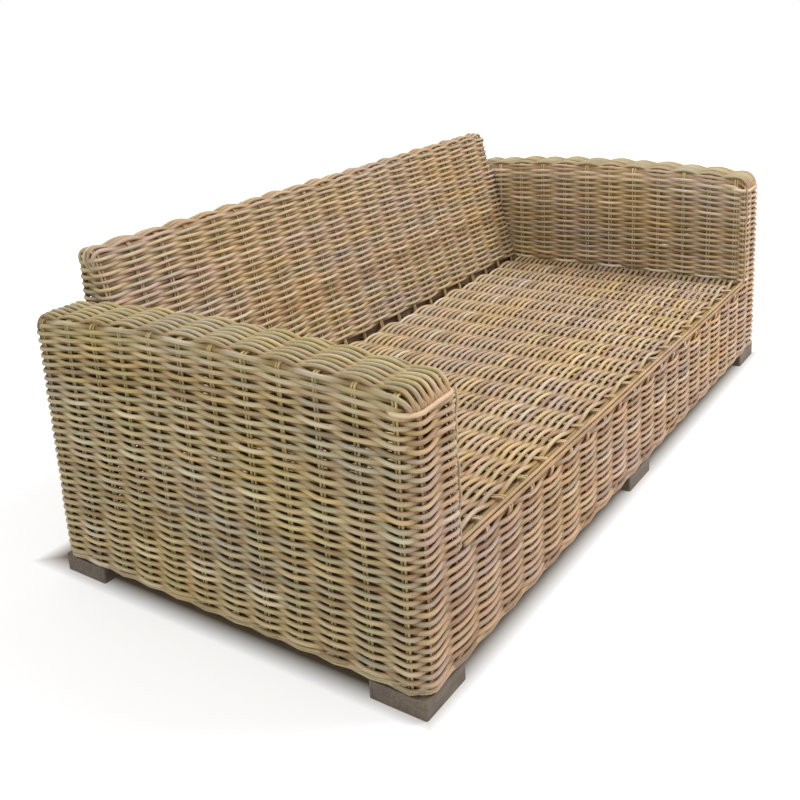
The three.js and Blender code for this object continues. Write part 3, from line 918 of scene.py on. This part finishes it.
for i in range(DECK_ROWS):
    y = deck_first + i * DECK_PITCH
    way = straight_way(arm_inner + INTO_SIDE, y, deck_z, UP, front_xs)
    name = "canes_deck_front" if i < DECK_ROWS // 2 else "canes_deck_rear"
    cane, hold = (DECK_CANE, None) if i > 0 else (FIRST_CANE, behind_deck_stakes)
    lay_row(name, way, i, "deck", radius=cane, hold=hold)
print("rows of the deck:", DECK_ROWS, "to y =", round(y, 3))

# %% [markdown]
# ## The stakes
# A stake is one long rod bent twice over the frame. Under the weavers only short bits of it show, as twin
# ticks, but without them the weave would be see-through in the wrong places.

# %% Lay the stakes
BACK_STAKE_TINT = STAKE_TINT * 0.90
SEAT_STAKE_TONE = 1.08
BACK_END_STAKES = (0.3, 0.7)
UNDER_RIM = 0.0045
ABOVE_FOOT = 0.004
FACE_STAKE_UNDER, CORNER_STAKE_UNDER = 0.035, 0.03
CORNER_STAKE_IN, BACK_STAKE_IN = 0.002, 0.006
stake_foot = skirt_bottom + ABOVE_FOOT


def upright_pair(name, foot, low, high, outward):
    """A pair of stakes that only stands upright."""
    lay_pair(name, [(*foot, low), (*foot, high)], [outward] * 2)


for name, side in SIDES.items():
    stakes = f"stakes_arm_{name}"
    for y in arm_ys:
        lay_pair(stakes, *over_arm(side, y, arm_top(y) - TOP_UNDER, (stake_foot, below_deck)))
    top = arm_end_top - FACE_STAKE_UNDER
    for end in (-1, 1):
        upright_pair(stakes, (side * face_x, end * middle_y), stake_foot, top, (0, end, 0))
    corner = (side * (inner_x + CORNER_STAKE_IN), -middle_y + CORNER_STAKE_IN)
    upright_pair(stakes, corner, stake_foot, arm_end_top - CORNER_STAKE_UNDER, (-side, -1, 0))
    for share in BACK_END_STAKES:
        foot = (side * (end_x - BACK_STAKE_IN), back_middle(back_top_z) * (1 - share) + middle_y * share)
        upright_pair("stakes_back", foot, arm_end_top, last_row_z, (side, 0, 0))
for x in back_xs:
    lay_pair("stakes_back", *back_section(x), tone=BACK_STAKE_TINT)
print("pairs of stakes on the back:", len(bundles["stakes_back"].rings) // 2)

# %% [markdown]
# A stake of the seat takes the tightest way: up the apron, out a little and round the bend of the rim, then
# down to the level of the deck and on to the rear. Its points are told by how far each lies from the rim.

# %% Lay the seat's stakes
APRON_POINTS = ((0, -0.028), (-0.005, -0.014), (-0.006, -0.007))
DECK_POINTS = ((0.006, 0.0045), (0.013, 0.0035), (0.024, 0))
RIM_TURNS = np.linspace(0, np.pi / 2, 6)

for x in front_xs[1:-1]:
    points = [(x, -middle_y, stake_foot)]
    points += [(x, -middle_y + out, rim_z + low) for out, low in APRON_POINTS]
    points += [(x, rim_y - UNDER_RIM * math.cos(a), rim_z + UNDER_RIM * math.sin(a)) for a in RIM_TURNS]
    points += [(x, rim_y + behind, deck_z + high) for behind, high in DECK_POINTS]
    points.append((x, deck_rear, deck_z))
    outward = [(0, -1, 0)] * 4 + [(0, -math.cos(a), math.sin(a)) for a in RIM_TURNS] + [UP] * 4
    lay_pair("stakes_seat", points, outward, tone=SEAT_STAKE_TONE)
print("pairs of stakes on the seat:", len(front_xs) - 2)

# %% [markdown]
# ## The front edge's two canes and the border at the foot
# Two canes lie side by side over the bend of the seat's front edge, in front of all the stakes, so a bare
# bit of each pair shows above and below them. A thin cane stands on the inner edge of each arm's front, over
# the rows that bend round it. None of these is woven in, so they are laid straight, with a small wobble.

# %% Lay the rim canes and the canes on the arms' edges
RIM_RADIUS = 0.0115
RIM_CANE = 0.0042
RIM_ANGLES = (22, 68)
RIM_TINT = np.array([1.04, 0.99, 0.80])
RIM_RINGS, EDGE_RINGS = 150, 60
RIM_GAP = 0.001
EDGE_CANE = 0.0026
EDGE_UNDER, EDGE_ABOVE, EDGE_AWAY = 0.032, 0.004, 0.0066

for i, angle in enumerate(np.radians(RIM_ANGLES)):
    out = np.array([0, -math.cos(angle), math.sin(angle)])
    x = np.linspace(-arm_inner + RIM_GAP, arm_inner - RIM_GAP, RIM_RINGS)
    reach = RIM_RADIUS + wobble(x, (0.0005, 9, 14), (0.0004, 34, 48))
    path = np.array([0, rim_y, rim_z]) + np.outer(x, [1, 0, 0]) + np.outer(reach, out)
    patches = 0.80 + 0.08 * np.sin(x * random.uniform(17, 25) + i)
    patches += 0.05 * np.sin(x * random.uniform(60, 80))
    colour = strand_colour("edge", x) * patches[:, None] * RIM_TINT
    bundles[f"rim_cane_piece_{i + 1}"].add(path, np.tile(out, (len(x), 1)), RIM_CANE, colour)

for name, side in SIDES.items():
    z = np.linspace(arm_end_top - EDGE_UNDER, rim_z + EDGE_ABOVE, EDGE_RINGS)
    away = EDGE_AWAY + 0.0014 * np.sin(z * 37 + side) + 0.0010 * np.sin(z * 97 + 2)
    path = np.stack([side * (inner_x - away), -middle_y - away, z], -1)
    outward = np.tile([-side, -1.0, 0], (len(z), 1))
    bundles[f"canes_arm_{name}_inner"].add(path, outward, EDGE_CANE, strand_colour("stake", z), darken=0.3)
print("rim canes:", len(RIM_ANGLES), "and canes on the arms' edges:", len(SIDES))

# %% [markdown]
# At the foot of the skirt each stake turns sideways, passes in front of its neighbour and ends behind the
# next one, which closes the edge like a rope. How far out and how high it is at each of them is told in two
# short lists, and between them it goes straight.

# %% Lay the border
BORDER_RADIUS = 0.0029
BORDER_TONE = 0.8
BORDER_OUT = (0, 0.002, 0.0062, -0.006, -0.007)
BORDER_HEIGHTS = (0.070, 0.0575, 0.0525, 0.0490, 0.0480)
BORDER_APART = (0.003, 0.0048)
BORDER_TAIL = 0.012
TURN_OUT, TURN_DOWN = 0.02, 0.022
SIDE_MARGIN = 0.005
stations = np.concatenate([skirt_way.stakes, skirt_way.stakes[:2] + skirt_way.length])


def border_side(place):
    """The side of the sofa that a place on the skirt is on."""
    if abs(place[0]) > middle_x - SIDE_MARGIN:
        return "left" if place[0] < 0 else "right"
    return "front" if place[1] < 0 else "rear"


for i in range(len(skirt_way.stakes)):
    here, neighbour, second = stations[i : i + 3]
    for strand in (0, 1):
        s = skirt_way.rings(here + BORDER_APART[0] * strand, second + BORDER_TAIL)
        place, outward = skirt_way.spot(s)
        past = second + TURN_OUT
        offset = np.interp(s, [here, here + TURN_OUT, neighbour, second, past], BORDER_OUT)
        height = np.interp(s, [here, here + TURN_DOWN, neighbour, second, past], BORDER_HEIGHTS)
        place[:, 2] = height - BORDER_APART[1] * strand
        name = "border_" + border_side(place[len(place) // 2])
        colour = strand_colour("edge", s) * BORDER_TONE
        bundles[name].add(place + outward * offset[:, None], outward, BORDER_RADIUS, colour, darken=0.4)
print("canes in the border:", 2 * len(skirt_way.stakes))

# %% [markdown]
# ## The cane's finish
# The skin of a cane has fine fibres along its length, darker flecks, and a dull shine. The stored colour of
# each ring is the ground tone. A noise that is stretched along the cane makes the fibres, and gives the
# roughness and a low bump as well.

# %% Helpers that set up shader nodes


def add_node(tree, kind, inputs=None, **settings):
    """A new shader node with its settings, and its inputs set or linked."""
    node = tree.nodes.new(kind)
    for key, value in settings.items():
        setattr(node, key, value)
    for key, value in (inputs or {}).items():
        if isinstance(value, bpy.types.NodeSocket):
            tree.links.new(value, node.inputs[key])
        else:
            node.inputs[key].default_value = value
    return node


def calculate(tree, operation, first, second):
    """What a calculation with two numbers gives."""
    return add_node(tree, "ShaderNodeMath", {0: first, 1: second}, operation=operation).outputs[0]


def vectors(tree, operation, inputs):
    """What a calculation with vectors gives."""
    return add_node(tree, "ShaderNodeVectorMath", inputs, operation=operation).outputs[0]


def mapped(tree, value, low, high, to_low, to_high):
    """A value that has been moved from one range to another."""
    ranges = {"Value": value, "From Min": low, "From Max": high, "To Min": to_low, "To Max": to_high}
    return add_node(tree, "ShaderNodeMapRange", ranges).outputs[0]


def noise(tree, place, stretch, detail, distortion=0.0):
    """A noise that is stretched along the cane or the timber."""
    scaled = add_node(tree, "ShaderNodeMapping", {"Vector": place, "Scale": stretch})
    look = {"Vector": scaled.outputs[0], "Scale": 1.0, "Detail": detail, "Distortion": distortion}
    return add_node(tree, "ShaderNodeTexNoise", look).outputs["Fac"]


def blank_finish(name):
    """A new material with its principled shader."""
    finish = bpy.data.materials.new(name)
    finish.use_nodes = True
    return finish, finish.node_tree, finish.node_tree.nodes["Principled BSDF"]


def dress(tree, shader, colour, factor, rough, bump):
    """Gives a shader a colour times a factor, a roughness, and a bump's height, strength and distance."""
    height, strength, distance = bump
    relief = add_node(tree, "ShaderNodeBump", {"Height": height, "Strength": strength, "Distance": distance})
    tree.links.new(vectors(tree, "SCALE", {0: colour, "Scale": factor}), shader.inputs["Base Color"])
    tree.links.new(rough, shader.inputs["Roughness"])
    tree.links.new(relief.outputs[0], shader.inputs["Normal"])


print("helpers for shader nodes: ready")

# %% [markdown]
# The weave, the seat and the smooth canes at the edges differ only in how strongly the fibres show and how
# rough the skin is, so one function makes all three finishes.

# %% Make the cane finishes


def cane_finish(name, fibre_low, fibre_high, rough_low, rough_high):
    """A finish for canes, whose fibres change the stored colour between two factors."""
    finish, tree, shader = blank_finish(name)
    colour = add_node(tree, "ShaderNodeAttribute", attribute_name="cane_colour").outputs["Color"]
    grain = add_node(tree, "ShaderNodeAttribute", attribute_name="cane_grain").outputs["Vector"]
    fibre = noise(tree, grain, (14, 700, 700), 3.0)
    fleck = noise(tree, grain, (60, 260, 260), 2.0)
    tone = mapped(tree, fibre, 0.3, 0.7, fibre_low, fibre_high)
    dark = mapped(tree, fleck, 0.28, 0.42, 0.72, 1.0)
    rough = mapped(tree, fibre, 0.3, 0.7, rough_high, rough_low)
    dress(tree, shader, colour, calculate(tree, "MULTIPLY", tone, dark), rough, (fibre, 0.35, 0.0006))
    return finish


finishes = {
    "woven_cane": cane_finish("woven cane", 0.80, 1.08, 0.50, 0.72),
    "deck_cane": cane_finish("seat cane", 0.82, 1.10, 0.48, 0.70),
    "edge_cane": cane_finish("edge cane", 0.86, 1.10, 0.42, 0.62),
}
print("cane finishes:", *finishes)

# %% [markdown]
# ## Build the panels
# Each bundle of canes becomes one mesh, rides on the sofa's only body and stands for the fixed model's panel
# at the same place.

# %% Build all the pieces
for side in SIDES:
    arm = f"arm_{side}"
    for face in ("outer", "inner", "front", "top"):
        build(f"canes_{arm}_{face}", "woven_cane", f"weave_{arm}_{face}")
    build(f"canes_rear_{side}", "woven_cane", f"weave_{arm}_rear", "weave_back_rear")
    build(f"stakes_{arm}", "woven_cane", f"weave_{arm}_outer", f"weave_{arm}_inner")
build("canes_apron", "woven_cane", "weave_apron_front")
build("canes_back_front", "woven_cane", "weave_back_front", "weave_back_end_left", "weave_back_end_right")
build("canes_back_top", "woven_cane", "weave_back_top")
build("canes_deck_front", "deck_cane", "weave_seat_deck")
build("canes_deck_rear", "deck_cane", "weave_seat_deck")
build("stakes_back", "woven_cane", "weave_back_front", "weave_back_rear")
build("stakes_seat", "deck_cane", "weave_seat_deck", "weave_apron_front")
for i in (1, 2):
    build(f"rim_cane_piece_{i}", "edge_cane", f"rim_cane_{i}")
for side in ("front", "rear", "left", "right"):
    build(f"border_{side}", "edge_cane", f"border_cane_{side}")
print("pieces:", len(bundles))

# %% [markdown]
# ## The timber's finish
# The frame is sawn timber that hardly shows, and the feet are block feet in a grey-brown stain. Wood has
# rings that are stretched along its length, so a noise is stretched the same way. Both finishes are made
# by one function, because only colours and sizes differ.

# %% Make the timber finishes and give them to the fixed model's solids


def timber_finish(name, dark, light, stretch, roughness):
    """A wood finish with grain along its length, worn lighter at places."""
    finish, tree, shader = blank_finish(name)
    place = add_node(tree, "ShaderNodeTexCoord").outputs["Object"]
    grain = noise(tree, place, stretch, 5.0, 0.6)
    wear = noise(tree, place, (35, 35, 35), 3.0)
    ramp = add_node(tree, "ShaderNodeValToRGB", {"Fac": grain})
    for stop, position, colour in zip(ramp.color_ramp.elements, (0.36, 0.64), (dark, light)):
        stop.position = position
        stop.color = (*linear(colour), 1)
    worn = mapped(tree, wear, 0.35, 0.75, 0.85, 1.15)
    rough = mapped(tree, grain, 0.0, 1.0, roughness - 0.1, roughness + 0.1)
    dress(tree, shader, ramp.outputs[0], worn, rough, (grain, 0.4, 0.001))
    return finish


foot_finish = timber_finish("stained foot timber", (104, 92, 80), (128, 115, 101), (9, 120, 240), 0.65)
frame_finish = timber_finish("frame timber", (92, 70, 48), (142, 112, 80), (9, 90, 90), 0.75)
for name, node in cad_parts.items():
    timber = foot_finish if name.startswith("foot_") else frame_finish
    if name.startswith(("foot_", "base_", "seat_", "arm_", "back_")):
        for place in node.material_slots:
            place.material = timber
print("timber finishes:", foot_finish.name, frame_finish.name)

# %% [markdown]
# ## The floor
# The sofa stands on a plain white floor, which keeps its soft shadow. The white is only there for the
# camera: to the light, the floor is a middling grey, so it does not shine back at the sofa. Light that gets
# under the sofa has passed between brown canes many times, more often than a render follows it, so the
# floor there, and a little way behind the sofa, gets a painted shade: brown and dim, so that the gaps of
# the weave look dark.

# %% The floor
FLOOR_SIZE = 14.0
FLOOR_COLOUR = (0.62, 0.62, 0.62, 1)
# Painted shade: the floor's colour under the sofa and a little way behind it.
SHADED_FLOOR = (0.23, 0.175, 0.11, 1)
SHADE_BEHIND = 0.08
NEAR_GLOW = 0.58
WHITE, BLACK = (1, 1, 1, 1), (0, 0, 0, 1)


def seen_directly(tree):
    """1 for what the camera, a mirror or glass sees, and 0 for what only gives light."""
    ray = add_node(tree, "ShaderNodeLightPath").outputs
    seen = calculate(tree, "MAXIMUM", ray["Is Camera Ray"], ray["Is Glossy Ray"])
    return calculate(tree, "MAXIMUM", seen, ray["Is Transmission Ray"])


reach = FLOOR_SIZE / 2
floor_mesh = bpy.data.meshes.new("floor")
floor_corners = [(-reach, -reach, 0), (reach, -reach, 0), (reach, reach, 0), (-reach, reach, 0)]
floor_mesh.from_pydata(floor_corners, [], [(0, 1, 2, 3)])
floor = bpy.data.objects.new("floor", floor_mesh)
bpy.context.scene.collection.objects.link(floor)

floor_finish, tree, shader = blank_finish("floor")
shader.inputs["Roughness"].default_value = 0.9
spot = add_node(tree, "ShaderNodeTexCoord").outputs["Object"]
away = vectors(tree, "SUBTRACT", {0: spot, 1: (0, SHADE_BEHIND / 2, 0)})
away = vectors(tree, "ABSOLUTE", {0: away})
away = vectors(tree, "SUBTRACT", {0: away, 1: (half_length, half_depth + SHADE_BEHIND / 2, 0)})
parts = add_node(tree, "ShaderNodeSeparateXYZ", {0: away}).outputs
outside = calculate(tree, "MAXIMUM", parts["X"], parts["Y"])
clear = mapped(tree, outside, -0.04, 0.02, 0.0, 1.0)
colours = {"Factor": clear, 6: SHADED_FLOOR, 7: FLOOR_COLOUR}
ground = add_node(tree, "ShaderNodeMix", colours, data_type="RGBA")
tree.links.new(ground.outputs[2], shader.inputs["Base Color"])
brightness = mapped(tree, outside, 0.3, 2.5, NEAR_GLOW, 1.0)
glow = add_node(tree, "ShaderNodeEmission", {"Color": WHITE, "Strength": brightness})
nothing = add_node(tree, "ShaderNodeEmission", {"Color": BLACK, "Strength": 0.0})
seen = calculate(tree, "MULTIPLY", seen_directly(tree), clear)
white = add_node(tree, "ShaderNodeMixShader", {0: seen, 1: nothing.outputs[0], 2: glow.outputs[0]})
both = add_node(tree, "ShaderNodeAddShader", {0: shader.outputs[0], 1: white.outputs[0]})
tree.links.new(both.outputs[0], tree.nodes["Material Output"].inputs["Surface"])
floor_mesh.materials.append(floor_finish)
print("floor:", FLOOR_SIZE, "m wide")

# %% [markdown]
# ## The light
# One large lamp stands high at the front right, so the left side of each arm is in its own shade. A weak
# lamp on the left and the even world around fill the shades in. The world too is only white to the camera.

# %% World and lamps
WORLD_LEVEL = 0.62
AIM = Vector((0, 0, 0.3))

world = bpy.data.worlds.new("studio")
bpy.context.scene.world = world
world.use_nodes = True
tree = world.node_tree
around = tree.nodes["Background"]
around.inputs["Color"].default_value = WHITE
around.inputs["Strength"].default_value = WORLD_LEVEL
backdrop = add_node(tree, "ShaderNodeBackground", {"Color": WHITE, "Strength": 1.0})
levels = {0: seen_directly(tree), 1: around.outputs[0], 2: backdrop.outputs[0]}
mixed = add_node(tree, "ShaderNodeMixShader", levels)
tree.links.new(mixed.outputs[0], tree.nodes["World Output"].inputs["Surface"])


def lamp(name, place, size, power):
    """A square area lamp that points at the middle of the seat."""
    light = bpy.data.lights.new(name, "AREA")
    light.size = size
    light.energy = power
    holder = bpy.data.objects.new(name, light)
    holder.location = place
    holder.rotation_euler = (AIM - Vector(place)).to_track_quat("-Z", "Y").to_euler()
    bpy.context.scene.collection.objects.link(holder)


lamp("key lamp", (2.2, -3.2, 4.6), 2.6, 170)
lamp("fill lamp", (-3.5, -1.5, 3.2), 3.0, 30)
print("lamps:", len(bpy.data.lights))

# %% [markdown]
# ## The camera
# The camera stands where the photograph was taken: to the left of the sofa and above it, looking along it to
# the far right corner. Its place, turn and lens were worked out from the sofa's corners in the picture.

# %% Camera
CAMERA_PLACE = (-2.3052, -1.369, 1.2839)
HEADING, TILT, ROLL = (math.radians(a) for a in (54.231, 14.952, -3.458))
FOCAL_PIXELS = 1004.3
PICTURE = 800
SENSOR = 36

view = bpy.data.cameras.new("camera")
view.sensor_width = SENSOR
view.lens = FOCAL_PIXELS / PICTURE * SENSOR
view.shift_x, view.shift_y = 0.025, -0.18
ahead = math.cos(TILT)
forward = Vector((math.sin(HEADING) * ahead, math.cos(HEADING) * ahead, -math.sin(TILT)))
level = Vector((math.cos(HEADING), -math.sin(HEADING), 0))
upright = level.cross(forward)
right = math.cos(ROLL) * level + math.sin(ROLL) * upright
up = math.cos(ROLL) * upright - math.sin(ROLL) * level
camera = bpy.data.objects.new("camera", view)
turned = Matrix((right, up, -forward)).transposed().to_4x4()
camera.matrix_world = Matrix.Translation(CAMERA_PLACE) @ turned
bpy.context.scene.collection.objects.link(camera)
bpy.context.scene.camera = camera
bpy.context.scene.view_settings.view_transform = "Standard"
print("lens:", round(view.lens, 2), "mm")
